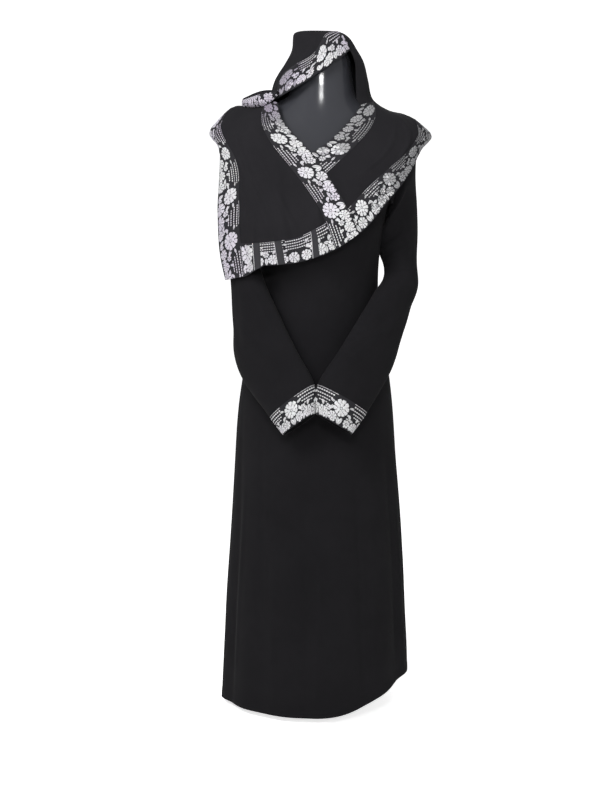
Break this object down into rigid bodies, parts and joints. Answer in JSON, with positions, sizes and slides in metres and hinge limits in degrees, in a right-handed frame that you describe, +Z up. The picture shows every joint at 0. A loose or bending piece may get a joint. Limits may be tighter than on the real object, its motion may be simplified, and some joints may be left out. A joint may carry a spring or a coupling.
{
  "type": "kaftan on a dress form",
  "caption": "Long black kaftan with floral cuff bands and a matching hooded shawl wrapped over the shoulders, worn on a limbless dress form with a pole and round base.",
  "frame": {"origin": "centre of the underside of the dress form's round base, on the floor", "axes": "+Z up along the pole, -Y to the front of the garment, +X to the wearer's left"},
  "size_m": [0.5061, 0.3848, 1.5696],
  "materials": {
    "black_cloth": "matte black crepe",
    "floral_band": "black band with silver flowers and dotted lines",
    "gloss_black": "smooth gloss black",
    "painted_steel": "satin black paint"
  },
  "bodies": {
    "root": {"form_torso": "gloss_black", "form_pole": "painted_steel", "form_base": "painted_steel", "gown_front": "black_cloth", "gown_back": "black_cloth", "sleeve_left": "black_cloth", "cuff_band_left": "floral_band", "sleeve_right": "black_cloth", "cuff_band_right": "floral_band", "shawl_hood": "black_cloth", "band_hood": "floral_band", "hood_turned_fold": "floral_band", "shawl_front_left": "black_cloth", "band_left_inner": "floral_band", "band_left_outer": "floral_band", "shawl_front_right": "black_cloth", "band_right_outer": "floral_band", "band_right_inner": "floral_band", "band_right_foot": "floral_band", "shawl_back": "black_cloth", "band_back": "floral_band"}
  },
  "joints": []
}
